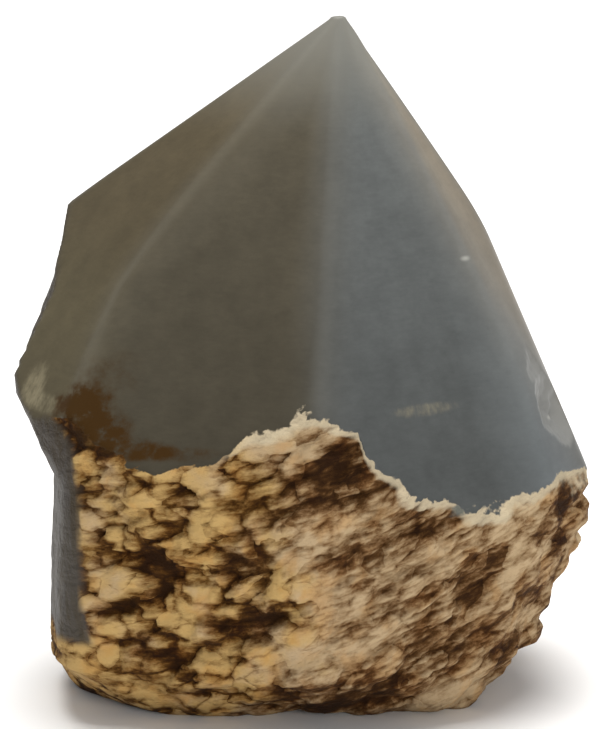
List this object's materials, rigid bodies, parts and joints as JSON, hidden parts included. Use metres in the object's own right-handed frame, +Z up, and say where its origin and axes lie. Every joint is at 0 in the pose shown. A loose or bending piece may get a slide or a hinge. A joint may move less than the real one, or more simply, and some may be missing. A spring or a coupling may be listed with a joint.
{
  "type": "angelite freeform",
  "caption": "Free-standing mineral stone: smooth ground faces meet in a pointed tip over a lumpy natural rind, sawn flat below.",
  "frame": {"origin": "middle of the stone's footprint box, on the plane of its sawn foot", "axes": "+Z up to the tip, -Y out of the front that the picture shows, +X to the right of that front"},
  "size_m": [0.0794, 0.0674, 0.0948],
  "materials": {
    "angelite": "hand-polished faces above, rough natural rind below"
  },
  "bodies": {
    "root": {"angelite_stone": "angelite"}
  },
  "joints": []
}
